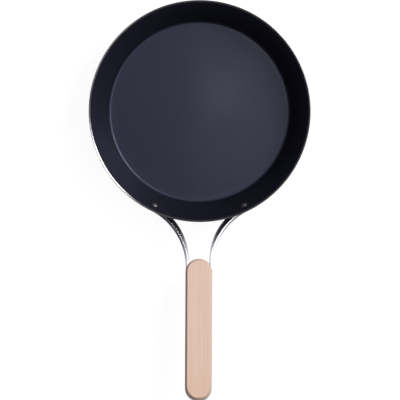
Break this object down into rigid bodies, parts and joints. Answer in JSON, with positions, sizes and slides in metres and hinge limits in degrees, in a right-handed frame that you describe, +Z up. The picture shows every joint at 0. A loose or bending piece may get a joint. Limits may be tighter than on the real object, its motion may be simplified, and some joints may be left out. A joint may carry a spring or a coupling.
{
  "type": "iron frying pan",
  "caption": "Pressed iron frying pan with a flat base, a straight flared wall and a wooden grip clamped between curved steel strap arms that are riveted to the wall.",
  "frame": {"origin": "centre of the pan's flat underside", "axes": "+Z up out of the pan, handle towards -Y, +X to the right when the handle points at the user"},
  "size_m": [0.2434, 0.4398, 0.0677],
  "materials": {
    "blued_iron": "blue-black oxidised sheet iron, satin",
    "satin_steel": "satin stainless steel",
    "pale_wood": "pale straight-grained hardwood, fine sanded and oiled"
  },
  "bodies": {
    "root": {"pan_body": "blued_iron", "handle_arm_right": "satin_steel", "handle_arm_left": "satin_steel", "wall_rivet_right": "satin_steel", "wall_rivet_left": "satin_steel", "grip": "pale_wood", "grip_screw_front": "satin_steel", "grip_screw_rear": "satin_steel", "grip_sleeve_nut_front": "satin_steel", "grip_sleeve_nut_rear": "satin_steel"}
  },
  "joints": []
}
